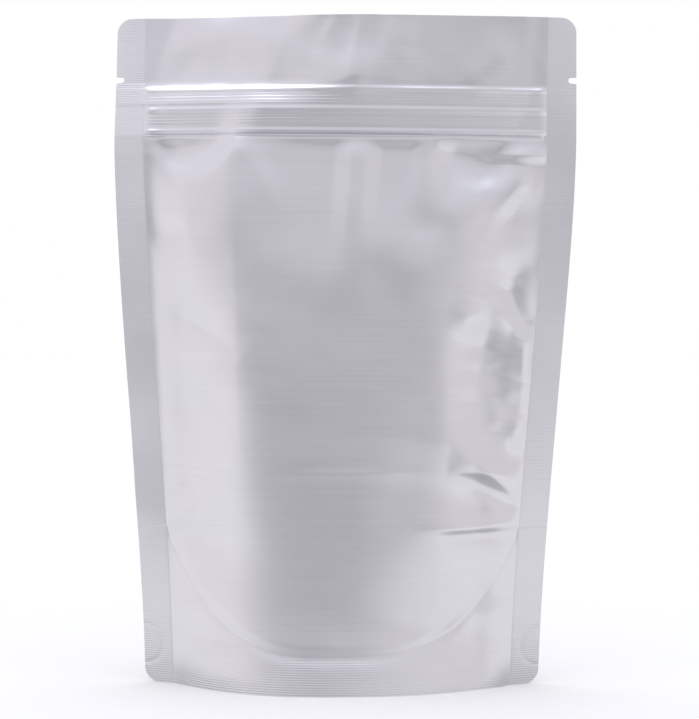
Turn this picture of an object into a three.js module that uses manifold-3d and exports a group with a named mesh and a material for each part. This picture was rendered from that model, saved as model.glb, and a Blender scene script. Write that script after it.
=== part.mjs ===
// A stand-up foil pouch with a press-to-close zipper, shut and standing on its opened bottom fold.
// A front and a back web are welded together down both sides, and a folded gusset web is welded
// between them at the foot, so the whole pouch is one piece. The sealed inside is solid, and the
// foot is hollow below the gusset. Millimetres, +Z up, front towards -Y, with the origin on the
// floor under the middle of the foot.

import * as THREE from "three";
import { mergeVertices } from "three/addons/utils/BufferGeometryUtils.js";
import Module from "manifold-3d";

const wasm = await Module();
wasm.setup();

// Outline of the pouch
const FLAT_WIDTH = 150; // laid flat, before the foot is opened
const HEIGHT = 217;
const CORNER_RADIUS = 5;
const SIDE_SEAL = 9.5; // width of the weld down each side
const SEAL_THICKNESS = 0.8; // of two welded webs

// Bulge of the panels between the side seals
const HALF_DEPTH = 29; // how far each panel stands out at the foot
const FULLNESS = 2.7; // across the panel: 2 is a parabola, and more has a flatter middle
const RISE_POWER = 1.5; // the bulge at a share h of the way up is (1 - h^RISE)^SHOULDER
const SHOULDER_POWER = 0.75;
const SEAL_EASE = 3; // folds and ribs fade out over this distance from a side seal

// Zipper band and the head of the pouch above it
const ZIPPER_FOOT = 177;
const ZIPPER_HEAD = 194.5;
const TAPE = 0.5; // how far the zipper's tape lifts the film
const TAPE_EASE = 1.2; // height of the step at the tape's upper and lower edge
const RIB_HEIGHTS = [180, 187]; // where the two halves of the zipper lock
const RIB = 1; // how far a rib stands out from the tape
const RIB_REACH = 1.3;
const HEAD_BOW = 4; // how far the middle of the head curves forward
const HEAD_BOW_FOOT = 150; // the curve starts at this height

// Tear notches in the side seals
const NOTCH_HEIGHT = 196.6;
const NOTCH_DEPTH = 2.6;
const NOTCH_WIDTH = 2;

// Gusset: the weld curves from the fold at each side down to the foot in the middle
const FOLD_HEIGHT = 49;
const WELD_FOOT = 11.6;
const WELD_POWER = 3.4;
const GUSSET_SAG = 2.5; // how far each half of the gusset curves down between weld and fold
const RECESS_CLEARANCE = 4; // the foot's hollow stops this far from a side seal
const BELOW_FLOOR = 2; // the tool that cuts the hollow starts below the floor

// Number of steps in the mesh
const COLUMNS = 36;
const BODY_STEP = 5.2;
const ZIPPER_STEP = 0.9;
const HEAD_STEP = 4.5;
const CORNER_STEPS = 4;
const RECESS_COLUMNS = 30;
const RECESS_WALL_STEPS = 3;
const RECESS_ROOF_STEPS = 5;

// A fold is a line on a panel between two points, each [x, z]. The film stands out along it, or
// dents where out is below 0, and the fold dies away over its reach to either side.
const FRONT_FOLDS = [
  { from: [-34, 172], to: [-33, 110], out: 1, reach: 6 }, // left shoulder, down from the zipper
  { from: [-58, 128], to: [-37, 110], out: 1.2, reach: 4.5 }, // slants down from the left seal
  { from: [-50, 105], to: [-36, 106], out: -1, reach: 4 },
  { from: [-55, 148], to: [-60, 146], out: -1.4, reach: 6 },
  { from: [-22, 172], to: [-16, 158], out: -0.9, reach: 5 }, // flutes below the zipper
  { from: [-1, 173], to: [-2, 148], out: 1.3, reach: 5.5 },
  { from: [14, 172], to: [12, 152], out: -0.8, reach: 6 },
  { from: [24, 171], to: [24, 160], out: 1.2, reach: 6 },
  { from: [38, 172], to: [36, 164], out: -1.6, reach: 7 },
  { from: [54, 136], to: [52, 124], out: -1.4, reach: 5 }, // dents beside the right seal
  { from: [50, 118], to: [55, 106], out: -1.6, reach: 5 },
  { from: [52, 99], to: [49, 92], out: 0.8, reach: 4.5 },
  { from: [42, 79], to: [55, 77], out: 1.6, reach: 6 },
  { from: [40, 69], to: [55, 62], out: -1.8, reach: 4 },
  { from: [32, 49], to: [56, 50], out: -1.4, reach: 3.5 }, // creases at the height of the fold
  { from: [-56, 50], to: [-42, 49], out: -0.9, reach: 3.5 },
];
const BACK_FOLDS = [
  { from: [33, 172], to: [34, 112], out: 0.9, reach: 6 },
  { from: [8, 173], to: [6, 146], out: 1.2, reach: 6 }, // flutes below the zipper
  { from: [-18, 172], to: [-13, 156], out: -0.9, reach: 5.5 },
  { from: [-38, 171], to: [-34, 160], out: 1.1, reach: 6 },
  { from: [56, 132], to: [40, 116], out: -1.3, reach: 5 }, // dents beside the seals
  { from: [-54, 120], to: [-46, 104], out: -1.4, reach: 5 },
  { from: [-56, 84], to: [-42, 76], out: 1.3, reach: 5 },
  { from: [-56, 49], to: [-34, 50], out: -1.2, reach: 3.5 }, // creases at the height of the fold
  { from: [40, 49], to: [56, 50], out: -1, reach: 3.5 },
];

const FLAT_HALF_PANEL = FLAT_WIDTH / 2 - SIDE_SEAL;
const TAKE_UP = FULLNESS ** 2 / (2 * (2 * FULLNESS - 1));

// How far the middle of a panel stands out at a height.
function bulge(z) {
  const rise = Math.min(Math.max(z, 0) / ZIPPER_FOOT, 1);
  return HALF_DEPTH * (1 - rise ** RISE_POWER) ** SHOULDER_POWER;
}

// The film doesn't stretch, so a panel is narrower by what its bulge takes up.
function halfPanel(z) {
  return FLAT_HALF_PANEL - (TAKE_UP * bulge(z) ** 2) / FLAT_HALF_PANEL;
}

// Half the width over both seals, with the corners rounded.
function halfWidth(z) {
  const missing = Math.max(CORNER_RADIUS - Math.min(z, HEIGHT - z), 0);
  const rounding = CORNER_RADIUS - Math.sqrt(CORNER_RADIUS ** 2 - missing ** 2);
  return halfPanel(z) + SIDE_SEAL - rounding;
}

// The body's shape across a panel, as a share of its bulge: 0 at a side seal, 1 in the middle.
function crown(x, z) {
  const inside = Math.max(1 - Math.abs(x) / halfPanel(z), 0);
  return 1 - (1 - inside) ** FULLNESS;
}

function smooth(low, high, value) {
  return THREE.MathUtils.smoothstep(value, low, high);
}

// How far the zipper's tape and its ribs lift the film at a height.
function zipperRelief(z) {
  const foot = smooth(ZIPPER_FOOT, ZIPPER_FOOT + TAPE_EASE, z);
  const head = smooth(ZIPPER_HEAD - TAPE_EASE, ZIPPER_HEAD, z);
  const ribs = RIB_HEIGHTS.map((height) => RIB * Math.exp(-(((z - height) / RIB_REACH) ** 2)));
  return TAPE * foot * (1 - head) + Math.max(...ribs);
}

// How far one fold moves a point of its panel, by the point's distance from the fold's line.
function foldRelief({ from, to, out, reach }, x, z) {
  const line = new THREE.Line3(new THREE.Vector3(...from, 0), new THREE.Vector3(...to, 0));
  const point = new THREE.Vector3(x, z, 0);
  const near = line.closestPointToPoint(point, true, new THREE.Vector3());
  return out * Math.exp(-near.distanceToSquared(point) / reach ** 2);
}

// How far a panel stands out from the middle plane of the seals.
function panel(x, z, folds) {
  const fromSeal = Math.max(halfPanel(z) - Math.abs(x), 0);
  const relief = folds.reduce((sum, fold) => sum + foldRelief(fold, x, z), zipperRelief(z));
  const shape = bulge(z) * crown(x, z) + relief * smooth(0, SEAL_EASE, fromSeal);
  return SEAL_THICKNESS / 2 + Math.max(shape, 0);
}

// The head and the zipper curve forward between the side seals.
function headBow(x, z) {
  return HEAD_BOW * crown(x, z) * smooth(HEAD_BOW_FOOT, HEIGHT, z);
}

// Heights from one level to the next in even steps, with the last one left to what follows.
function steps(from, to, step) {
  const count = Math.round((to - from) / step);
  return Array.from({ length: count }, (_, i) => from + ((to - from) * i) / count);
}

// Distances from the end of the pouch through a rounded corner, closer together at the end.
function cornerSteps() {
  const turn = Math.PI / 2 / CORNER_STEPS;
  return Array.from({ length: CORNER_STEPS }, (_, i) => CORNER_RADIUS * (1 - Math.cos(i * turn)));
}

// Joins rings of equal length into a closed solid, with a flat cap on the first and last ring.
function loft(rings, flatten) {
  const size = rings[0].length;
  const index = [];
  rings.slice(1).forEach((_, row) => {
    for (let i = 0; i < size; i++) {
      const a = row * size + i;
      const b = row * size + ((i + 1) % size);
      index.push(a, b, b + size, a, b + size, a + size);
    }
  });
  const caps = [rings[0], rings.at(-1)].map((ring) =>
    THREE.ShapeUtils.triangulateShape(ring.map(flatten), []),
  );
  const last = (rings.length - 1) * size;
  caps[0].forEach(([a, b, c]) => index.push(c, b, a));
  caps[1].forEach(([a, b, c]) => index.push(a + last, b + last, c + last));
  return new THREE.BufferGeometry().setFromPoints(rings.flat()).setIndex(index);
}

// The pouch without its hollow foot: rings round the outside, from the floor to the top edge.
function outerShell() {
  const corner = cornerSteps();
  const levels = [
    ...corner,
    ...steps(CORNER_RADIUS, ZIPPER_FOOT, BODY_STEP),
    ...steps(ZIPPER_FOOT, ZIPPER_HEAD, ZIPPER_STEP),
    ...steps(ZIPPER_HEAD, HEIGHT - CORNER_RADIUS, HEAD_STEP),
    ...[CORNER_RADIUS, ...corner.toReversed()].map((below) => HEIGHT - below),
  ];
  const shares = Array.from({ length: COLUMNS + 1 }, (_, i) => (2 * i) / COLUMNS - 1);
  const rings = levels.map((z) => {
    const across = [-halfWidth(z), ...shares.map((share) => share * halfPanel(z)), halfWidth(z)];
    const front = across.map((x) => [x, -panel(x, z, FRONT_FOLDS) - headBow(x, z)]);
    const back = across.map((x) => [x, panel(x, z, BACK_FOLDS) - headBow(x, z)]);
    return [...front, ...back.reverse()].map(([x, y]) => new THREE.Vector3(x, y, z));
  });
  return loft(rings, ({ x, y }) => new THREE.Vector2(x, y));
}

// Height of the curved weld between a panel and the gusset.
function weldHeight(x) {
  const share = Math.min(Math.abs(x) / halfPanel(0), 1);
  return WELD_FOOT + (FOLD_HEIGHT - WELD_FOOT) * share ** WELD_POWER;
}

// Half of a section through the hollow foot, from the floor up the skirt to the gusset's fold.
// The gusset is as long from weld to fold as it was when the pouch lay flat.
function recessHalf(x, folds) {
  const weld = weldHeight(x);
  const wall = steps(-BELOW_FLOOR, weld, (weld + BELOW_FLOOR) / RECESS_WALL_STEPS).map((z) => [
    panel(x, Math.max(z, 0), folds) - SEAL_THICKNESS,
    z,
  ]);
  const out = panel(x, weld, folds) - SEAL_THICKNESS;
  const rise = Math.sqrt(Math.max((FOLD_HEIGHT - weld) ** 2 - out ** 2, 0));
  const roof = steps(0, 1, 1 / RECESS_ROOF_STEPS).map((share) => [
    out * (1 - share),
    weld + rise * share - GUSSET_SAG * crown(x, 0) * Math.sin(Math.PI * share),
  ]);
  return { half: [...wall, ...roof], fold: weld + rise };
}

// The hollow under the pouch, as a solid to cut away: sections from the left side to the right.
function recess() {
  const end = halfPanel(0) - RECESS_CLEARANCE;
  const across = Array.from(
    { length: RECESS_COLUMNS + 1 },
    (_, i) => end * Math.sin(Math.PI * (i / RECESS_COLUMNS - 0.5)),
  );
  const rings = across.map((x) => {
    const front = recessHalf(x, FRONT_FOLDS);
    const back = recessHalf(x, BACK_FOLDS);
    const ring = [
      ...back.half,
      [0, (front.fold + back.fold) / 2],
      ...front.half.reverse().map(([out, z]) => [-out, z]),
    ];
    return ring.map(([y, z]) => new THREE.Vector3(x, y, z));
  });
  return loft(rings, ({ y, z }) => new THREE.Vector2(y, z));
}

// A tear notch with a round end, as a solid to cut from the side seal on one side.
function notch(side) {
  const half = NOTCH_WIDTH / 2;
  const edge = halfWidth(NOTCH_HEIGHT);
  const outline = new THREE.Shape()
    .moveTo(half, half)
    .lineTo(-(NOTCH_DEPTH - half), half)
    .absarc(-(NOTCH_DEPTH - half), 0, half, Math.PI / 2, (3 * Math.PI) / 2)
    .lineTo(half, -half);
  const through = 4 * SEAL_THICKNESS;
  return new THREE.ExtrudeGeometry(outline, { depth: through, bevelEnabled: false, curveSegments: 4 })
    .translate(0, 0, -through / 2)
    .rotateX(Math.PI / 2)
    .rotateZ(side < 0 ? Math.PI : 0)
    .translate(side * edge, 0, NOTCH_HEIGHT);
}

function toSolid(geometry) {
  const bare = geometry.clone().deleteAttribute("normal").deleteAttribute("uv");
  const merged = mergeVertices(bare);
  return new wasm.Manifold(
    new wasm.Mesh({
      numProp: 3,
      vertProperties: merged.getAttribute("position").array,
      triVerts: Uint32Array.from(merged.index.array),
    }),
  );
}

function toGeometry(solid) {
  const { vertProperties, triVerts } = solid.getMesh();
  const geometry = new THREE.BufferGeometry()
    .setAttribute("position", new THREE.BufferAttribute(vertProperties, 3))
    .setIndex(new THREE.BufferAttribute(triVerts, 1));
  geometry.computeVertexNormals();
  return geometry;
}

const foil = new THREE.MeshStandardMaterial({ color: 0xc4c3c9, roughness: 0.38, metalness: 1 });

const solid = [recess(), notch(-1), notch(1)].reduce(
  (whole, tool) => whole.subtract(toSolid(tool)),
  toSolid(outerShell()),
);
const pouch = new THREE.Mesh(toGeometry(solid), foil);
pouch.name = "pouch";

export default new THREE.Group().add(pouch);
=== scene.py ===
# A stand-up pouch of silver foil film, shut and standing on its opened gusset.
# Sizes are in millimetres, and each tree turns them into the frame's metres at its end.

import math

import bpy
from mathutils import Matrix, Vector


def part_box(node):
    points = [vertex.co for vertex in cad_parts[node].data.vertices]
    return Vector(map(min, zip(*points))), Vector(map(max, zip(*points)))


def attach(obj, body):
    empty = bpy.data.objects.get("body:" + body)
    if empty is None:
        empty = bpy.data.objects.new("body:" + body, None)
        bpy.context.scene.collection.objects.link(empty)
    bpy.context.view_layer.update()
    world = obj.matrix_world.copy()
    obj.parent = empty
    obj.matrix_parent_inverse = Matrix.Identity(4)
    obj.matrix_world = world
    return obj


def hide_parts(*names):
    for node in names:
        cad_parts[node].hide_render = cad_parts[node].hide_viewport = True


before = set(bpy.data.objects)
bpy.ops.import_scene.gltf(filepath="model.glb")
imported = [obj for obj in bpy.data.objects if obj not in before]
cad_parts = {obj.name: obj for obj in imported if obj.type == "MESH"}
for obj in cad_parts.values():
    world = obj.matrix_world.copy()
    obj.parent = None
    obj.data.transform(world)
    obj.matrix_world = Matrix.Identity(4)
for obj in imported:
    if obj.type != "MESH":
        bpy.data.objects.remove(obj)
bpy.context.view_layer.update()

# Front panel
# A web of foil laminate, drawn off a roll and heat-sealed at its sides. The opened gusset bows it
# out at the foot, the zipper holds it flat above, and opening it by hand has left folds in it.

MM = 0.001
pouch_low, pouch_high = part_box("pouch")
FULLNESS = 2.7
DEPTH_SPARE = 0.4
POUCH = {
    "Flat width": (pouch_high.x - pouch_low.x) / MM,
    "Height": (pouch_high.z - pouch_low.z) / MM,
    "Half depth": (pouch_high.y - pouch_low.y) / MM / 2 - DEPTH_SPARE,
    "Foot flare": 0.104,
    "Foot flare reach": 25.0,
    "Side seal": 9.5,
    "Seal thickness": 0.4,
    "Seal ease": 2.0,
    "Turn radius": 1.2,
    "Shoulder radius": 3.0,
    "Shoulder foot": 95.0,
    "Corner radius": 5.0,
    "Fullness": FULLNESS,
    "Take-up": FULLNESS**2 / (2 * (2 * FULLNESS - 1)),
    "Rise power": 1.5,
    "Shoulder power": 0.75,
    "Zipper foot": 177.0,
    "Zipper head": 194.5,
    "Head bow": 2.5,
    "Head bow foot": 95.0,
    "Head bow top": 185.0,
    "Fold height": 49.0,
    "Weld foot": 11.6,
    "Weld power": 3.4,
}


class Wire:
    """A socket of a node tree. A sum written on wires adds the nodes that work it out."""

    def __init__(self, socket):
        self.socket = socket

    def node(self, kind, settings, sockets, output=0):
        """Adds a node to this wire's tree: its settings, then its sockets' values and links."""
        tree = self.socket.id_data
        made = tree.nodes.new(kind)
        for name, value in settings.items():
            setattr(made, name, value)
        for name, value in sockets.items():
            if isinstance(value, Wire):
                tree.links.new(value.socket, made.inputs[name])
            else:
                made.inputs[name].default_value = value
        return Wire(made.outputs[output])

    def math(self, operation, first, second=0.0):
        return self.node("ShaderNodeMath", {"operation": operation}, {0: first, 1: second})

    def __add__(self, other):
        return self.math("ADD", self, other)

    def __radd__(self, other):
        return self.math("ADD", other, self)

    def __sub__(self, other):
        return self.math("SUBTRACT", self, other)

    def __rsub__(self, other):
        return self.math("SUBTRACT", other, self)

    def __mul__(self, other):
        return self.math("MULTIPLY", self, other)

    def __rmul__(self, other):
        return self.math("MULTIPLY", other, self)

    def __truediv__(self, other):
        return self.math("DIVIDE", self, other)

    def __rtruediv__(self, other):
        return self.math("DIVIDE", other, self)

    def __pow__(self, other):
        return self.math("POWER", self, other)

    def __abs__(self):
        return self.math("ABSOLUTE", self)

    def at_least(self, other):
        return self.math("MAXIMUM", self, other)

    def at_most(self, other):
        return self.math("MINIMUM", self, other)

    def share(self):
        """This value, kept between 0 and 1."""
        return self.at_least(0.0).at_most(1.0)

    def kept_below(self, most, rounding):
        """This value, rounded off so that it stays below another."""
        sockets = {0: self, 1: most, 2: rounding}
        return self.node("ShaderNodeMath", {"operation": "SMOOTH_MIN"}, sockets)

    def kept_above(self, least, rounding):
        """This value, rounded off so that it stays above another."""
        sockets = {0: self, 1: least, 2: rounding}
        return self.node("ShaderNodeMath", {"operation": "SMOOTH_MAX"}, sockets)

    def ease(self, low, high):
        """0 up to low, 1 from high on, and a smooth rise between them."""
        ends = {"Value": self, "From Min": low, "From Max": high}
        return self.node("ShaderNodeMapRange", {"interpolation_type": "SMOOTHSTEP"}, ends)

    def hump(self, middle, reach):
        """1 at the middle, dying away over the reach to either side."""
        off = (self - middle) / reach
        return self.math("EXPONENT", 0.0 - off * off)

    def noise(self, scale, detail=2.0):
        """Soft noise around 0 at this place, which is a vector."""
        sockets = {"Vector": self, "Scale": scale, "Detail": detail}
        return self.node("ShaderNodeTexNoise", {}, sockets, "Fac") - 0.5

    def vector(self, x, y, z):
        return self.node("ShaderNodeCombineXYZ", {}, {"X": x, "Y": y, "Z": z})

    def axes(self):
        """The x, y and z of this vector."""
        return [self.node("ShaderNodeSeparateXYZ", {}, {"Vector": self}, axis) for axis in "XYZ"]


def start_tree(name, sizes, output):
    """A new tree with a named input for each size, given back as wires by name."""
    tree = bpy.data.node_groups.new(name, "GeometryNodeTree")
    tree.interface.new_socket("Result", in_out="OUTPUT", socket_type=output)
    for size, value in sizes.items():
        socket = tree.interface.new_socket(size, in_out="INPUT", socket_type="NodeSocketFloat")
        socket.default_value = value
    given = tree.nodes.new("NodeGroupInput")
    return {size: Wire(given.outputs[size]) for size in sizes}


def end_tree(result):
    """Leads a wire out of its tree and gives back the tree."""
    tree = result.socket.id_data
    tree.links.new(result.socket, tree.nodes.new("NodeGroupOutput").inputs["Result"])
    return tree


def bulge(size, z):
    """How far the middle of a panel stands out at a height."""
    rise = (z / size["Zipper foot"]).share()
    return size["Half depth"] * (1 - rise ** size["Rise power"]) ** size["Shoulder power"]


def half_panel(size, z):
    """Half a panel's width. The film doesn't stretch, so its bulge takes up some of it."""
    flat = size["Flat width"] / 2 - size["Side seal"]
    return flat - size["Take-up"] * bulge(size, z) ** 2 / flat


def crown(size, across):
    """A panel's shape from seal to seal, as a share of its bulge."""
    return 1 - abs(across).at_most(1.0) ** size["Fullness"]


def panel_depth(size, across, z):
    """How far a smooth panel stands out of the seals, which it leaves in a small turn."""
    soft = size["Shoulder radius"] * z.ease(size["Shoulder foot"], size["Zipper foot"])
    full = (bulge(size, z) ** 2 + soft * soft) ** 0.5 - soft
    above_foot = 1 - z.math("EXPONENT", 0.0 - z / size["Foot flare reach"])
    full = full * (1 - size["Foot flare"] * above_foot)
    turn = size["Turn radius"]
    square = full * (full + 2 * turn) * crown(size, across) ** 2
    return (square + turn * turn) ** 0.5 - turn


def weld_height(size, across):
    """Height of the curved weld between a panel and the gusset."""
    rise = size["Fold height"] - size["Weld foot"]
    return size["Weld foot"] + rise * abs(across).at_most(1.0) ** size["Weld power"]


CREASE_RADIUS = 0.6
CREASE_TAPER = 1.5
FLUTE_RISE = 0.6
FLUTE_END = 10.0


def crease_rule():
    """A crease: a sharp line with a slope on either side, which runs out at both ends."""
    names = "X,Z,From X,From Z,Along X,Along Z,Length,Out,Left,Right".split(",")
    size = start_tree("Crease", dict.fromkeys(names, 1.0), "NodeSocketFloat")
    x = size["X"] - size["From X"]
    z = size["Z"] - size["From Z"]
    along = (x * size["Along X"] + z * size["Along Z"]) / size["Length"]
    aside = x * size["Along Z"] - z * size["Along X"]
    from_middle = 2 * along - 1
    body = (1 - from_middle * from_middle).at_least(0.0) ** CREASE_TAPER
    on_right = aside.math("GREATER_THAN", aside, 0.0)
    reach = size["Left"] + (size["Right"] - size["Left"]) * on_right
    away = (aside * aside + CREASE_RADIUS**2) ** 0.5 - CREASE_RADIUS
    return end_tree(size["Out"] * body * aside.math("EXPONENT", 0.0 - away / reach))


def flute_rule():
    """A flute: straight flanks on either side of a flat crest, rising slowly along its line."""
    names = "X,Z,From X,From Z,Along X,Along Z,Length,Out,Left,Crest,Right,Rounding".split(",")
    sizes = {**dict.fromkeys(names, 0.0), "Rise": FLUTE_RISE}
    size = start_tree("Flute", sizes, "NodeSocketFloat")
    x = size["X"] - size["From X"]
    z = size["Z"] - size["From Z"]
    along = x * size["Along X"] + z * size["Along Z"]
    aside = x * size["Along Z"] - z * size["Along X"]
    body = along.ease(0.0, size["Rise"] * size["Length"])
    body = body * (1 - along.ease(size["Length"] - FLUTE_END, size["Length"]))
    left_flank = ((aside + size["Crest"]) / size["Left"] + 1).share()
    right_flank = ((size["Crest"] - aside) / size["Right"] + 1).share()
    height = left_flank.kept_below(right_flank, size["Rounding"] * body)
    return end_tree(size["Out"] * body * height)


def dent_rule():
    """A soft dent or swelling along a short line."""
    names = "X,Z,From X,From Z,Along X,Along Z,Length,Out,Reach".split(",")
    size = start_tree("Dent", dict.fromkeys(names, 1.0), "NodeSocketFloat")
    x = size["X"] - size["From X"]
    z = size["Z"] - size["From Z"]
    along = (x * size["Along X"] + z * size["Along Z"]).at_least(0.0).at_most(size["Length"])
    x = x - along * size["Along X"]
    z = z - along * size["Along Z"]
    away = (x * x + z * z) / size["Reach"] ** 2
    return end_tree(size["Out"] * away.math("EXPONENT", 0.0 - away))


flute_tree = flute_rule()
FOLD_RULES = {
    1: (dent_rule(), ("Reach",)),
    2: (crease_rule(), ("Left", "Right")),
    3: (flute_tree, ("Left", "Crest", "Right")),
    5: (flute_tree, ("Left", "Crest", "Right", "Rounding", "Rise")),
}


def fold(x, z, line, out, *reach):
    """Adds one fold, on a line from (x, z) to (x, z). The count of its reaches gives its rule."""
    (from_x, from_z), (to_x, to_z) = line
    length = math.hypot(to_x - from_x, to_z - from_z)
    values = {"X": x, "Z": z, "From X": from_x, "From Z": from_z, "Length": length, "Out": out}
    values["Along X"] = (to_x - from_x) / length
    values["Along Z"] = (to_z - from_z) / length
    tree, names = FOLD_RULES[len(reach)]
    values.update(zip(names, reach))
    return x.node("GeometryNodeGroup", {"node_tree": tree}, values)


TAPE = 0.35
TAPE_START = 1.0
TAPE_EASE = 1.6
RIB_HEIGHTS = (179.2, 186.3)
RIB = 0.42
RIB_REACH = 0.9
TAPE_EDGE = 192.9
TAPE_EDGE_BEAD = 0.3
TAPE_EDGE_REACH = 0.8
TAPE_LINE_PITCH = 1.04
TAPE_LINE = 0.04
TAPE_LINE_EASE = 0.5
TAPE_LINE_BANDS = ((180.9, 184.7), (187.9, 191.9))
TAPE_GROOVE = 0.45
TAPE_GROOVE_HEIGHT = 177.9
TAPE_GROOVE_REACH = 0.7


def zipper_relief(size, z):
    """How far the zipper's tape, its two locking ribs and its fine lines lift the film."""
    start = size["Zipper foot"] + TAPE_START
    foot = z.ease(start, start + TAPE_EASE)
    head = z.ease(size["Zipper head"] - TAPE_EASE, size["Zipper head"])
    relief = TAPE * foot * (1 - head) + TAPE_EDGE_BEAD * z.hump(TAPE_EDGE, TAPE_EDGE_REACH)
    relief = relief - TAPE_GROOVE * z.hump(TAPE_GROOVE_HEIGHT, TAPE_GROOVE_REACH)
    for height in RIB_HEIGHTS:
        relief = relief + RIB * z.hump(height, RIB_REACH)
    lines = z.math("COSINE", z * (2 * math.pi / TAPE_LINE_PITCH))
    for low, high in TAPE_LINE_BANDS:
        band = TAPE_LINE * lines * z.ease(low, low + TAPE_LINE_EASE)
        relief = relief + band * (1 - z.ease(high - TAPE_LINE_EASE, high))
    return relief


# A Mix node has sockets for each kind of value. These are the ones for colours.
MIX_SHARE = 0
MIX_FIRST = 6
MIX_SECOND = 7
MIX_RESULT = 2


def blend(share, first, second, way="MIX"):
    """Mixes two colours, the second by its share."""
    settings = {"data_type": "RGBA", "blend_type": way}
    sockets = {MIX_SHARE: share, MIX_FIRST: first, MIX_SECOND: second}
    return share.node("ShaderNodeMix", settings, sockets, MIX_RESULT)


FOIL_COLOUR = (0.76, 0.748, 0.80)
FOIL_ROUGHNESS = 0.25
FOIL_TONES = (0.96, 1.04)
ROLL_LINES_PER_METRE = 1500.0
ROLL_LINE_BREAKS_PER_METRE = 30.0
ROLL_LINE_TONE = 0.8
ROLL_LINE_GLOSS = 0.03
ROLL_LINE_BUMP = 0.008
ROLL_LINE_DEPTH = 0.0002
CLOUDS_PER_METRE = 45.0
CLOUD_GLOSS = 0.05
FOIL_DETAIL = 3.0


def foil(name, roughness):
    """Satin foil film: faint lines across the web from rolling, and slightly uneven gloss."""
    material = bpy.data.materials.new(name)
    material.use_nodes = True
    nodes = material.node_tree.nodes
    shader = nodes["Principled BSDF"]
    shader.inputs["Metallic"].default_value = 1.0
    place = Wire(nodes.new("ShaderNodeTexCoord").outputs["Object"])
    x, y, z = place.axes()
    along_x = x * ROLL_LINE_BREAKS_PER_METRE
    along_y = y * ROLL_LINE_BREAKS_PER_METRE
    lines = place.vector(along_x, along_y, z * ROLL_LINES_PER_METRE).noise(1.0, FOIL_DETAIL)
    cloud = place.noise(CLOUDS_PER_METRE, FOIL_DETAIL)
    dark, light = [(*(c * tone for c in FOIL_COLOUR), 1.0) for tone in FOIL_TONES]
    colour = blend((cloud + ROLL_LINE_TONE * lines + 0.5).share(), dark, light)
    gloss = roughness + CLOUD_GLOSS * cloud + ROLL_LINE_GLOSS * lines
    relief = {"Strength": ROLL_LINE_BUMP, "Distance": ROLL_LINE_DEPTH, "Height": lines}
    bump = place.node("ShaderNodeBump", {}, relief)
    links = material.node_tree.links
    links.new(colour.socket, shader.inputs["Base Color"])
    links.new(gloss.socket, shader.inputs["Roughness"])
    links.new(bump.socket, shader.inputs["Normal"])
    return material


film_foil = foil("film_foil", FOIL_ROUGHNESS)

WEB = 0.12
PANEL_COLUMNS = 130
BODY_ROWS = 250
ZIPPER_ROWS = 84
HEAD_ROWS = 28
PANEL_ROWS = BODY_ROWS + ZIPPER_ROWS + HEAD_ROWS
WELD_PINCH = 0.5
WELD_PINCH_REACH = 2.2
WELD_FADE = 0.8
WELD_FADE_EDGE = (0.6, 0.85)
HELD_BELOW_ZIPPER = 4.0
HELD_INTO_ZIPPER = 2.0
FREE_INTO_ZIPPER = 1.0
FREE_ABOVE_ZIPPER = 2.0
UNEVEN = 0.5
UNEVEN_SCALE = 0.03
HEAD_UNEVEN = 0.8
HEAD_UNEVEN_SCALE = 0.05
HEAD_SEED = 5.0
SWELL_EASE = 14.0
EDGE_SLOPE = 1.12
EDGE_ROUNDING = 0.8
FILM_GAP = 0.3


def add_folds(x, z, folds):
    """The sum of some folds."""
    total = 0.0 * x
    for line, out, *reach in folds:
        total = total + fold(x, z, line, out, *reach)
    return total


def below_zipper(size, z):
    """1 on the body, dying away where the zipper's tape holds the film flat."""
    foot = size["Zipper foot"]
    return 1 - z.ease(foot - HELD_BELOW_ZIPPER, foot + HELD_INTO_ZIPPER)


def panel_out(size, across, z, folds, seed):
    """How far a panel's outer face stands from the middle plane of the seals."""
    half = half_panel(size, z)
    x = across * half
    relief = add_folds(x, z, folds["body"]) + UNEVEN * x.vector(x, z, seed).noise(UNEVEN_SCALE)
    pinch = (z - weld_height(size, across)).hump(0.0, WELD_PINCH_REACH)
    relief = relief - WELD_PINCH * pinch * (1 - WELD_FADE * abs(across).ease(*WELD_FADE_EDGE))
    above = z.ease(size["Zipper head"] - FREE_INTO_ZIPPER, size["Zipper head"] + FREE_ABOVE_ZIPPER)
    uneven = HEAD_UNEVEN * x.vector(x, z, seed + HEAD_SEED).noise(HEAD_UNEVEN_SCALE)
    head = add_folds(x, z, folds["head"]) + uneven
    from_seal = half * (1 - abs(across))
    whole = (relief * below_zipper(size, z) + head * above) * from_seal.ease(0.0, size["Seal ease"])
    swells = add_folds(x, z, folds["swells"]) * below_zipper(size, z)
    smooth = panel_depth(size, across, z)
    shape = smooth + whole + swells * from_seal.ease(0.0, SWELL_EASE)
    shape = shape.kept_below(smooth.at_least(EDGE_SLOPE * from_seal), EDGE_ROUNDING)
    shape = shape.kept_above(0.0, FILM_GAP)
    return size["Seal thickness"] / 2 + shape + zipper_relief(size, z) * from_seal.ease(0.0, TAPE_EASE)


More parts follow.
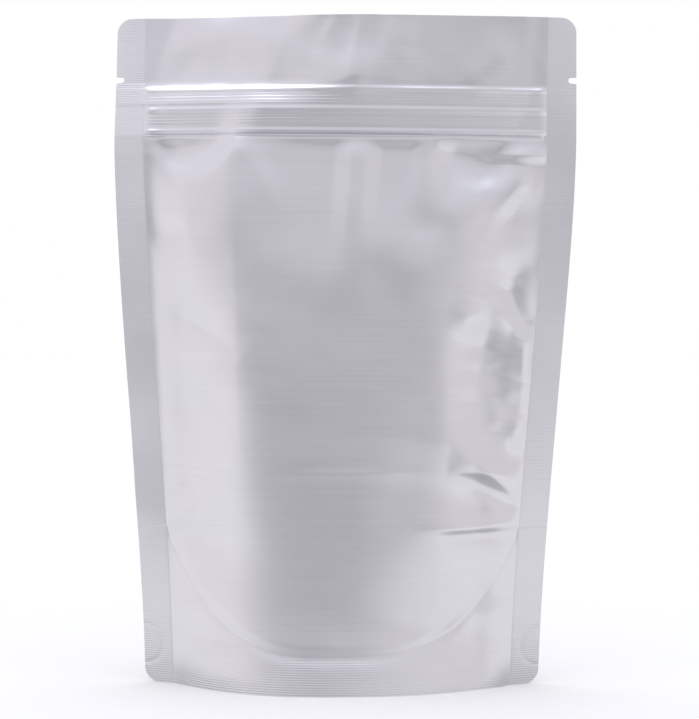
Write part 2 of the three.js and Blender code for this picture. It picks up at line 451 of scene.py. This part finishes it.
# The zipper and the head bend forward along a slanted line, left of which they lean back. The rim
# curls back on the left, and handling has left soft dents in the head.
HEAD_BENDS = [
    (((-46, 140), (9.1, 283)), 6.5, 36, 0.5, 80, 0.5, 0.403),
    (((-36, 226), (-20, 226)), -4.0, 11),
    (((-51, 200), (-44.9, 206)), -0.76, 5.9),
    (((-39.4, 200), (-31.8, 201.1)), -0.91, 6.3),
    (((-23.1, 197.3), (-18.6, 210.6)), -2.12, 10.5),
    (((-11, 199.7), (-4.7, 208.1)), -0.41, 5.7),
    (((3.3, 198.1), (4.2, 202.1)), 1.38, 6.8),
    (((13.4, 198.3), (17.1, 209.3)), 0.45, 5.4),
    (((29.6, 199.3), (31, 204.9)), 0.21, 4.8),
    (((43.5, 197.7), (49.5, 203.2)), 0.7, 6.4),
    (((-43.6, 209.3), (-39.2, 216.2)), 0.5, 5.2),
    (((-29.7, 208.7), (-24.9, 216.3)), -0.39, 5.1),
    (((-10.3, 208.9), (-6.5, 215.3)), -0.73, 4.8),
    (((1.2, 207), (0.6, 216)), -1.27, 6.1),
    (((8.9, 206.4), (12.9, 216.2)), -0.73, 4.9),
    (((25.3, 205.8), (25.5, 216.2)), -0.32, 5.5),
]
BEND_EASE = 8.0
HEAD_LEANS = [
    {"foot": 172.0, "top": 230.0, "back": 5.0, "left": -60.0, "right": 0.0},
    {"foot": 177.5, "top": 187.5, "back": 2.0, "left": -40.0, "right": -24.0},
    {"foot": 188.5, "top": 195.5, "back": 2.7, "left": -28.0, "right": 6.0},
    {"foot": 188.5, "top": 195.5, "back": -1.3, "left": -74.0, "right": -56.0},
    {"foot": 195.0, "top": 225.0, "back": 3.0, "left": 30.0, "right": 75.0},
]
# Both films are pressed in together along the left lobe, and in a pit below the zipper's right end.
PRESSED_FOLDS = [
    (((-50.1, 45), (-56.5, 190)), -1.5, 35.1, 0.5, 18.2),
    (((36, 171.5), (46, 168)), -2.2, 7.6),
]


def head_lean(x, z):
    """How far the head and the left of the zipper lean back, the seals with them."""
    total = 0.0 * x
    for lean in HEAD_LEANS:
        rise = ((z - lean["foot"]) / (lean["top"] - lean["foot"])).share()
        total = total + lean["back"] * rise * (1 - x.ease(lean["left"], lean["right"]))
    return total


LEDGE = {"back": 2.4, "height": 167.0, "middle": -51.0, "curve": 0.045, "reach": 5.0}
LEDGE_RIGHT = (-42.0, -33.0)
LEDGE_TOP = (172.0, 191.0)


def lobe_ledge(x, z):
    """How far the top of the left lobe falls back, along an arc below the zipper."""
    off = x - LEDGE["middle"]
    above = z - LEDGE["height"] - LEDGE["curve"] * off * off
    ledge = LEDGE["back"] * above.ease(-LEDGE["reach"], LEDGE["reach"])
    return ledge * (1 - x.ease(*LEDGE_RIGHT)) * (1 - z.ease(*LEDGE_TOP))


def shared_bow(size, across, z):
    """How far both films curve forward together between the seals."""
    half = half_panel(size, z)
    x = across * half
    from_seal = half * (1 - abs(across))
    bow = size["Head bow"] * z.ease(size["Head bow foot"], size["Head bow top"]) * crown(size, across)
    bends = add_folds(x, z, HEAD_BENDS) - lobe_ledge(x, z)
    bow = bow + bends * from_seal.ease(0.0, BEND_EASE)
    pressed = add_folds(x, z, PRESSED_FOLDS) * below_zipper(size, z)
    bow = bow + pressed * from_seal.ease(0.0, SWELL_EASE)
    return bow - head_lean(x, z)


def set_film(grid, x, y, z, faces_back, material):
    """Lays a grid out at x, y, z in millimetres, faces it outwards and dresses it."""
    place = x.vector(x * MM, y * MM, z * MM)
    film = grid.node("GeometryNodeSetPosition", {}, {"Geometry": grid, "Position": place})
    if faces_back:
        film = film.node("GeometryNodeFlipFaces", {}, {"Mesh": film})
    film = film.node("GeometryNodeSetShadeSmooth", {}, {0: film})
    film = film.node("GeometryNodeRealizeInstances", {}, {"Geometry": film})
    film = film.node("GeometryNodeSetMaterial", {}, {"Geometry": film, "Material": material})
    return end_tree(film)


def sheet_grid(size, columns, rows):
    """A flat grid, with each point's place across from -1 to 1 and its row from 0 to rows."""
    start = size["Height"]
    counts = {"Size X": 2.0, "Size Y": 1.0, "Vertices X": columns + 1, "Vertices Y": rows + 1}
    grid = start.node("GeometryNodeMeshGrid", {}, counts)
    across, up, _ = start.node("GeometryNodeInputPosition", {}, {}).axes()
    return grid, across, (up + 0.5) * rows


SHARP_ANGLE = math.radians(45)


def make_piece(name, tree, wall):
    """Runs a tree, gives the film its thickness inwards, and fixes the piece to the pouch."""
    piece = bpy.data.objects.new(name, bpy.data.meshes.new(name))
    bpy.context.scene.collection.objects.link(piece)
    shape = piece.modifiers.new("Shape", "NODES")
    shape.node_group = tree
    for item in tree.interface.items_tree:
        if item.in_out == "INPUT":
            shape[item.identifier] = POUCH[item.name]
    thickness = piece.modifiers.new("Thickness", "SOLIDIFY")
    thickness.thickness = wall * MM
    thickness.offset = -1.0
    made = piece.evaluated_get(bpy.context.evaluated_depsgraph_get())
    piece.data = bpy.data.meshes.new_from_object(made)
    piece.data.name = name
    piece.data.set_sharp_from_angle(angle=SHARP_ANGLE)
    piece.modifiers.clear()
    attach(piece, "root")
    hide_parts("pouch")


def make_panel(name, toward, folds, seed):
    """A panel from the floor to the top edge: toward is -1 for the front and 1 for the back."""
    size = start_tree(name, POUCH, "NodeSocketGeometry")
    grid, across, row = sheet_grid(size, PANEL_COLUMNS, PANEL_ROWS)
    body = (row / BODY_ROWS).share() * size["Zipper foot"]
    zipper = ((row - BODY_ROWS) / ZIPPER_ROWS).share() * (size["Zipper head"] - size["Zipper foot"])
    head = ((row - BODY_ROWS - ZIPPER_ROWS) / HEAD_ROWS).share()
    z = body + zipper + head * (size["Height"] - size["Zipper head"])
    x = across * half_panel(size, z)
    y = toward * panel_out(size, across, z, folds, seed) - shared_bow(size, across, z)
    make_piece(name, set_film(grid, x, y, z, toward > 0, film_foil), WEB)


FRONT_FOLDS = {
    "body": [
        # Creases in the left lobe.
        (((-63, 144.6), (-51, 148.4)), -0.9, 6.6, 6.2),
        (((-57.5, 124.6), (-32.4, 106)), -1.32, 5.1, 6.1),
        (((-53.6, 108.3), (-30.8, 108.7)), 0.31, 6.9, 1.3),
        # Flutes that run down from the zipper.
        (((-15.8, 145.6), (-38.6, 182.3)), 0.64, 24.9, 0.3, 5.8),
        (((-14.7, 142.9), (-16.5, 184.1)), -0.05, 10.3, 0.3, 4.9),
        (((1.4, 128.2), (5.1, 180.3)), 1.51, 6, 1.9, 5.6),
        (((23.6, 146.5), (29.4, 183.3)), 1.08, 5, 1.4, 6.3),
        # The right lobe, with a step under the zipper.
        (((36.6, 153), (55.4, 162.8)), 1.31, 6.6),
        (((42, 172.3), (69, 171.3)), 1.7, 5.2, 0.2, 2),
        (((39, 137), (61.2, 171.6)), 0.55, 10, 0.3, 4),
        (((25.9, 149), (35.7, 150.8)), -0.5, 5.7),
        # Hollows and creases beside the right seal.
        (((58.1, 136.6), (49.9, 130.3)), -0.37, 3.8),
        (((52.8, 128), (58.4, 118)), -1.3, 2.9),
        (((45.8, 114.7), (67.8, 109.8)), 2.2, 5.8, 9),
        (((46.6, 112), (46.8, 104)), -4.4, 8.3),
        (((61, 107.5), (60.2, 102.4)), 2.1, 3.2),
        (((44.8, 90.5), (44.5, 83)), -3.2, 7.4),
        (((52.5, 101.3), (52.7, 96)), 0.7, 3.5),
        (((49.8, 90), (50, 86.6)), 0.85, 3.3),
        (((43.3, 84.8), (62.6, 82.6)), 0.55, 4.7, 4.3),
        (((59.5, 96.2), (59.4, 90.8)), 1.4, 3),
        (((58, 85.3), (57, 81)), 1.5, 3),
        (((52.3, 105.5), (46, 104)), 0.75, 4.8),
        (((41, 118), (51, 117.6)), 1.8, 4.9),
        (((59, 75.5), (51, 74)), -0.8, 6),
        (((33, 71), (55, 68.5)), 2.6, 8, 3),
        (((42.5, 72), (63, 58.2)), 2.6, 8, 3),
        (((44, 66.5), (54.5, 60.5)), -1.5, 3.6),
        (((39.9, 67.1), (41.8, 57.5)), -1.1, 4.6),
        # Level creases where the gusset was folded.
        (((22, 51.2), (70, 53)), 1.5, 4.5, 1.1),
        (((29, 49.4), (62, 50.6)), -1.1, 1.1, 6),
        (((-65, 54.6), (-37.5, 54.6)), 0.5, 4.3, 1.5),
        (((-62.5, 49.2), (-34.7, 49.8)), -0.6, 1.2, 6.6),
        (((-57.3, 60), (-50, 66)), 0.3, 1.2, 1.2),
        (((-29, 69.2), (36.6, 70.2)), 0.29, 1.9, 2),
    ],
    "swells": [
        (((-52, 149.5), (-49, 146)), 3.9, 22),
        (((52.1, 149.4), (53.9, 137.9)), -1.74, 11.3),
        (((-27.6, 138.2), (-0.5, 134.3)), 1.23, 12.3),
        (((12.6, 142.7), (22.9, 135.8)), 1.29, 9.7),
        (((39.7, 54.5), (48.3, 136)), 4.43, 25.2),
        (((39.3, 77), (47.1, 126.3)), -3.17, 19.9, 10.9),
        (((51.6, 85.6), (57.2, 131.8)), -2.05, 4.4),
        (((45.9, 122.6), (54.3, 132.2)), -1.86, 12.6),
        (((-35.5, 116.3), (-38.7, 57.8)), 1.9, 14.3),
        (((-52.3, 86.7), (-47.6, 54.1)), -2.68, 14.4),
        (((-1.7, 121.2), (-10.2, 92.8)), 2.77, 28.2),
        (((-5.5, 68), (1.5, 29.3)), -3.77, 37.1),
        (((25.4, 131.1), (28.9, 103.1)), -2.6, 40.6),
        (((26.8, 86.7), (17.7, 57.7)), -0.48, 9.4),
        (((38.7, 58), (32.4, 21.6)), -6.49, 24.3),
        (((-41.3, 46.1), (-23.3, 37.4)), -0.75, 18.3),
        (((-32.7, 155.3), (29.4, 150.9)), 1.24, 14.6),
    ],
    "head": [
        (((7, 221), (0, 196)), 0.35, 2.2, 1.4),
        (((15, 221), (11.5, 197)), 0.4, 1.6, 3),
        (((-1, 220), (-9, 206)), 0.3, 3, 1.6),
        (((-8, 202.5), (-3.5, 200.8)), -0.9, 3.6),
        (((56, 203), (64, 195)), -0.3, 3),
    ],
}
FRONT_SEED = 3.0
make_panel("front_panel", -1, FRONT_FOLDS, FRONT_SEED)

# Back panel
# A second web of the same foil laminate, heat-sealed to the front one at its sides and held to it
# by the zipper. It bows out at the foot as the front does, and has folds of its own.

BACK_FOLDS = {
    "body": [
        (((33, 190), (34, 100)), 1.5, 24, 9),
        (((8, 190), (6, 144)), 1.2, 9, 7),
        (((-18, 188), (-13, 154)), -0.9, 6, 6),
        (((-38, 188), (-34, 158)), 1.0, 7, 7),
        (((62, 134), (40, 114)), -1.2, 5, 6),
        (((-58, 122), (-46, 102)), -1.3, 6, 6),
        (((-60, 86), (-42, 75)), 1.3, 4, 8),
        (((-60, 50), (-30, 49.5)), -1.0, 2, 2.5),
        (((38, 49), (60, 50)), -0.8, 2, 2),
    ],
    "swells": [
        (((-40, 130), (-44, 70)), 2.2, 22),
        (((36, 120), (40, 74)), 1.8, 20),
        (((4, 126), (8, 96)), -1.6, 24),
    ],
    "head": [
        (((-14, 216), (-8, 200)), 0.6, 5, 5),
        (((24, 214), (40, 203)), -0.6, 8),
    ],
}
BACK_SEED = 21.0
make_panel("back_panel", 1, BACK_FOLDS, BACK_SEED)

# Gusset
# A third web, folded upwards along its middle and welded to both panels along a U, so that it
# opens into the floor of the pouch. It shows only from below.

GUSSET_SAG = 2.5
GUSSET_COLUMNS = 96
GUSSET_ROWS = 96
SKIRT_SHARE = 0.35
GUSSET_END = 0.995


def make_gusset():
    """The gusset: a skirt inside each panel up to its weld, and between the welds an open fold."""
    size = start_tree("gusset", POUCH, "NodeSocketGeometry")
    grid, across, row = sheet_grid(size, GUSSET_COLUMNS, GUSSET_ROWS)
    across = across * GUSSET_END
    turn = row / (GUSSET_ROWS / 2) - 1
    toward = turn.math("SIGN", turn)
    up = (1 - abs(turn)) / SKIRT_SHARE
    weld = weld_height(size, across)
    skirt_z = weld * up.share()
    in_roof = ((1 - abs(turn) - SKIRT_SHARE) / (1 - SKIRT_SHARE)).share()
    front_out = panel_out(size, across, skirt_z, FRONT_FOLDS, FRONT_SEED)
    back_out = panel_out(size, across, skirt_z, BACK_FOLDS, BACK_SEED)
    skirt_out = front_out + (back_out - front_out) * toward.at_least(0.0) - 2 * WEB
    weld_out = panel_depth(size, across, weld)
    web = size["Fold height"] - weld
    rise = (web * web - weld_out * weld_out).at_least(0.0) ** 0.5
    sag = GUSSET_SAG * crown(size, across) * in_roof.math("SINE", in_roof * math.pi)
    z = skirt_z + rise * in_roof - sag
    x = across * half_panel(size, skirt_z)
    y = toward * skirt_out * (1 - in_roof)
    make_piece("gusset", set_film(grid, x, y, z, True, film_foil), WEB)


make_gusset()

# Skirt welds
# Below the curved weld each panel and the gusset are pressed into one by ribbed jaws, so the skirt
# that the pouch stands on is thicker and carries the jaws' fine level lines.

JAW_PITCH = 0.75
JAW_LINE = 0.042
JAW_PRESS = 0.6
JAW_PRESS_LEAST = 0.12
JAW_UNEVEN = 2.2
JAW_UNEVEN_SCALE = 0.05
SKIRT_WALL = 0.3
SKIRT_PROUD = 0.05
SKIRT_BELOW_WELD = 0.6
SKIRT_COLUMNS = 96
SKIRT_ROWS = 250


def jaw_lines(x, z, seed):
    """The lines that the heated jaws press into a weld, in places deep and in places faint."""
    lines = z.math("COSINE", z * (2 * math.pi / JAW_PITCH))
    press = x.vector(x, z, seed).noise(JAW_UNEVEN_SCALE) * JAW_UNEVEN + JAW_PRESS
    return JAW_LINE * lines * press.at_least(JAW_PRESS_LEAST)


def make_skirt(name, toward, folds, seed):
    """A panel's skirt from the floor up to the weld: toward is -1 for the front, 1 for the back."""
    size = start_tree(name, POUCH, "NodeSocketGeometry")
    grid, across, row = sheet_grid(size, SKIRT_COLUMNS, SKIRT_ROWS)
    z = row / SKIRT_ROWS * (weld_height(size, across) - SKIRT_BELOW_WELD)
    x = across * half_panel(size, z)
    out = panel_out(size, across, z, folds, seed) + SKIRT_PROUD + jaw_lines(x, z, seed)
    make_piece(name, set_film(grid, x, toward * out, z, toward > 0, film_foil), SKIRT_WALL)


make_skirt("front_skirt", -1, FRONT_FOLDS, FRONT_SEED)
make_skirt("back_skirt", 1, BACK_FOLDS, BACK_SEED)

# Side seals
# The edges of the webs, pressed together by ribbed jaws and die-cut with round corners and a tear
# notch. The ends of the zipper are crushed flat in them, and a spot weld pins each lower corner.

SEAL_ROUGHER = 0.14
sealed_foil = foil("sealed_foil", FOIL_ROUGHNESS + SEAL_ROUGHER)
SEAL_OVERLAP = 0.8
SEAL_PROUD = 0.015
SEAL_COLUMNS = 14
SEAL_ROWS = 1736
SEAL_WAVE = 0.25
SEAL_WAVE_SCALE = 0.03
SEAL_WAVE_ACROSS = 0.1
LAYER = 0.12
LAYER_ABOVE_FOLD = 2.5
LAYER_EDGE = 0.4
NOTCH_HEIGHT = 196.6
NOTCH_DEPTH = 2.6
NOTCH_WIDTH = 2.0
NOTCH_POWER = 4
SPOT_HEIGHT = 12.7
SPOT_RADIUS = 6.5
SPOT_GROOVE = 0.22
SPOT_GROOVE_REACH = 0.6
CRUSH = 0.16
CRUSH_MEAN = 0.6
CRUSH_EASE = 1.5
CRUSH_SCALE = 0.5
CRUSH_ACROSS = 0.5
CRUSH_DETAIL = 3.0


def half_width(size, z):
    """Half the width over both seals, with the corners rounded and the notches cut in."""
    end = z.at_most(size["Height"] - z)
    missing = (size["Corner radius"] - end).at_least(0.0)
    square = size["Corner radius"] ** 2 - missing * missing
    rounding = size["Corner radius"] - square.at_least(0.0) ** 0.5
    off_square = ((z - NOTCH_HEIGHT) / (NOTCH_WIDTH / 2)) ** 2
    notch = NOTCH_DEPTH * (1 - off_square * off_square).at_least(0.0) ** (1 / NOTCH_POWER)
    return half_panel(size, z) + size["Side seal"] - rounding - notch


def make_seal(name, side, bends, seed):
    """A side seal: side is -1 for the left, 1 for the right. Bends are (height, reach, back)."""
    size = start_tree(name, POUCH, "NodeSocketGeometry")
    grid, across, row = sheet_grid(size, SEAL_COLUMNS, SEAL_ROWS)
    z = row / SEAL_ROWS * size["Height"]
    inner = half_panel(size, z)
    x = inner - SEAL_OVERLAP + (half_width(size, z) - inner + SEAL_OVERLAP) * (across + 1) / 2
    share = ((x - inner) / size["Side seal"]).share()
    band = z.ease(size["Zipper foot"], size["Zipper foot"] + CRUSH_EASE)
    band = band * (1 - z.ease(size["Zipper head"] - CRUSH_EASE, size["Zipper head"]))
    crumple = x.vector(x * CRUSH_ACROSS, z, seed).noise(CRUSH_SCALE, CRUSH_DETAIL)
    crush = CRUSH * band * (crumple + CRUSH_MEAN)
    from_spot = ((inner + size["Side seal"] - x) ** 2 + (z - SPOT_HEIGHT) ** 2) ** 0.5
    spot = SPOT_GROOVE * from_spot.hump(SPOT_RADIUS, SPOT_GROOVE_REACH)
    bend = SEAL_WAVE * x.vector(x * SEAL_WAVE_ACROSS, z, seed).noise(SEAL_WAVE_SCALE)
    for height, reach, back in bends:
        bend = bend + back * z.hump(height, reach)
    fold_top = size["Fold height"] + LAYER_ABOVE_FOLD
    layers = LAYER * (1 - z.ease(fold_top - LAYER_EDGE, fold_top))
    out = size["Seal thickness"] / 2 + SEAL_PROUD + layers + jaw_lines(x, z, seed) + crush - spot
    y = bend * share - out + head_lean(side * x, z)
    make_piece(name, set_film(grid, side * x, y, z, side < 0, sealed_foil), POUCH["Seal thickness"])


LEFT_BENDS = [(0, 50, 5.0), (60, 8, -0.8), (85, 14, 1.0), (215, 70, 3.0)]
LEFT_SEED = 7.0
make_seal("left_seal", -1, LEFT_BENDS, LEFT_SEED)
RIGHT_BENDS = [(0, 80, 5.5), (110, 20, 0.8), (150, 18, -0.6), (217, 25, 2.5)]
RIGHT_SEED = 13.0
make_seal("right_seal", 1, RIGHT_BENDS, RIGHT_SEED)

# Studio
# A white tent on a white floor lights the pouch from both sides and from above. It opens in front
# and behind, and these darker openings show as the dark middle of each panel.

LEFT_LIGHT = (0.900, 0.873, 0.884, 1.0)
RIGHT_LIGHT = (0.797, 0.779, 0.784, 1.0)
OPENING_LIGHT = (0.462, 0.462, 0.473, 1.0)
OPENING_TOP_LIGHT = (0.614, 0.618, 0.637, 1.0)
CEILING_LIGHT = (2.25, 2.35, 2.55, 1.0)
LEFT_EDGE = (5.2, 59.9)
RIGHT_EDGE = (-4.0, 56.9)
OPENING_TOP_EDGE = (4.8, 15.5)
CEILING_EDGE = (55.0, 80.0)
TOP_TINT = (0.97, 1.0, 1.04, 1.0)
TOP_TINT_EDGE = (26.0, 50.0)
SIDE_EDGE = (-0.5, 0.5)
WHITE = (1.0, 1.0, 1.0, 1.0)
DEGREES = 180 / math.pi
NEAR_ZERO = 0.0001


def tent_side(x, y):
    """How much of the tent's side shows in a direction, and how much of that is the right side."""
    off_axis = x.math("ARCCOSINE", abs(y).at_most(1.0)) * DEGREES
    from_right = (x / ((1 - y * y).at_least(NEAR_ZERO) ** 0.5)).ease(*SIDE_EDGE)
    left_rim = off_axis.ease(*LEFT_EDGE)
    return left_rim + (off_axis.ease(*RIGHT_EDGE) - left_rim) * from_right, from_right


world = bpy.data.worlds.new("studio")
world.use_nodes = True
bpy.context.scene.world = world
ray = Wire(world.node_tree.nodes.new("ShaderNodeTexCoord").outputs["Generated"])
ray_x, ray_y, ray_z = ray.axes()
lit, from_right = tent_side(ray_x, ray_y)
raised = ray.math("ARCSINE", ray_z) * DEGREES
opening = blend(raised.ease(*OPENING_TOP_EDGE), OPENING_LIGHT, OPENING_TOP_LIGHT)
tent = blend(lit, opening, blend(from_right, LEFT_LIGHT, RIGHT_LIGHT))
tent = blend(raised.ease(*TOP_TINT_EDGE), tent, TOP_TINT, "MULTIPLY")
tent = blend(raised.ease(*CEILING_EDGE), tent, CEILING_LIGHT)
seen = Wire(world.node_tree.nodes.new("ShaderNodeLightPath").outputs["Is Camera Ray"])
tent = blend(seen, tent, WHITE)
world.node_tree.links.new(tent.socket, world.node_tree.nodes["Background"].inputs["Color"])

# Floor
# A plain matt white floor, which the pouch stands on, as the camera sees it. In the foil's reflections
# it is black and glows with painted light instead: painted shade close to the pouch and before the
# tent's openings, and a painted glow as if lit by the tent's sides elsewhere. Its sizes are in metres.

FLOOR_HALF = 6.0
FLOOR_ROUGHNESS = 0.8
FLOOR_COLOUR = (0.995, 0.99, 0.98, 1.0)
FLOOR_LIT = (0.865, 0.855, 0.862, 1.0)
FLOOR_SHADE = (0.510, 0.510, 0.520, 1.0)
FLOOR_SHADE_EDGE = (0.085, 0.125)
FLOOR_SHADE_NARROW = 1.2
BLACK = (0.0, 0.0, 0.0, 1.0)
floor_mesh = bpy.data.meshes.new("floor")
floor_turns = ((-1, -1), (1, -1), (1, 1), (-1, 1))
floor_corners = [(x * FLOOR_HALF, y * FLOOR_HALF, 0.0) for x, y in floor_turns]
floor_mesh.from_pydata(floor_corners, [], [(0, 1, 2, 3)])
floor = bpy.data.objects.new("floor", floor_mesh)
bpy.context.scene.collection.objects.link(floor)
floor_paint = bpy.data.materials.new("floor_paint")
floor_paint.use_nodes = True
floor_nodes = floor_paint.node_tree.nodes
floor_shader = floor_nodes["Principled BSDF"]
floor_shader.inputs["Roughness"].default_value = FLOOR_ROUGHNESS
floor_shader.inputs["Emission Strength"].default_value = 1.0
floor_x, floor_y, _ = Wire(floor_nodes.new("ShaderNodeTexCoord").outputs["Object"]).axes()
# Painted light and painted shade for the floor's glow: bright towards the tent's sides, shaded close
# to the pouch.
floor_far = (floor_x * floor_x + floor_y * floor_y).at_least(NEAR_ZERO) ** 0.5
floor_lit, _ = tent_side(floor_x / floor_far, floor_y / floor_far)
shade_x = FLOOR_SHADE_NARROW * floor_x
from_pouch = (shade_x * shade_x + floor_y * floor_y) ** 0.5
floor_lit = floor_lit * from_pouch.ease(*FLOOR_SHADE_EDGE)
# Camera rays see the white floor. Other rays see it black, glowing with the painted light and painted
# shade.
floor_seen = Wire(floor_nodes.new("ShaderNodeLightPath").outputs["Is Camera Ray"])
painted_floor_glow = blend(floor_seen, blend(floor_lit, FLOOR_SHADE, FLOOR_LIT), BLACK)
floor_tone = blend(floor_seen, BLACK, FLOOR_COLOUR)
floor_paint.node_tree.links.new(floor_tone.socket, floor_shader.inputs["Base Color"])
floor_paint.node_tree.links.new(painted_floor_glow.socket, floor_shader.inputs["Emission Color"])
floor_mesh.materials.append(floor_paint)

# Camera
# Level with the upper half of the pouch and close to straight on, as the photograph was taken. Its
# lens gives the photograph's count of pixels to a millimetre at the pouch.

CAMERA_PLACE = Vector((1.9, -750.0, 119.0)) * MM
CAMERA_AIM = Vector((1.9, 0.0, 105.7)) * MM
CAMERA_ROLL = math.radians(0.35)
PIXELS_HIGH = 719
PIXELS_PER_MM = 3.079
SENSOR = 36.0
camera = bpy.data.objects.new("camera", bpy.data.cameras.new("camera"))
bpy.context.scene.collection.objects.link(camera)
camera.data.sensor_fit = "VERTICAL"
camera.data.sensor_height = SENSOR
distance = (CAMERA_AIM - CAMERA_PLACE).length
camera.data.lens = SENSOR * distance / (PIXELS_HIGH / PIXELS_PER_MM * MM)
aim = (CAMERA_AIM - CAMERA_PLACE).to_track_quat("-Z", "Y").to_matrix().to_4x4()
camera.matrix_world = Matrix.Translation(CAMERA_PLACE) @ aim @ Matrix.Rotation(CAMERA_ROLL, 4, "Z")
bpy.context.scene.camera = camera
bpy.context.scene.view_settings.view_transform = "Standard"
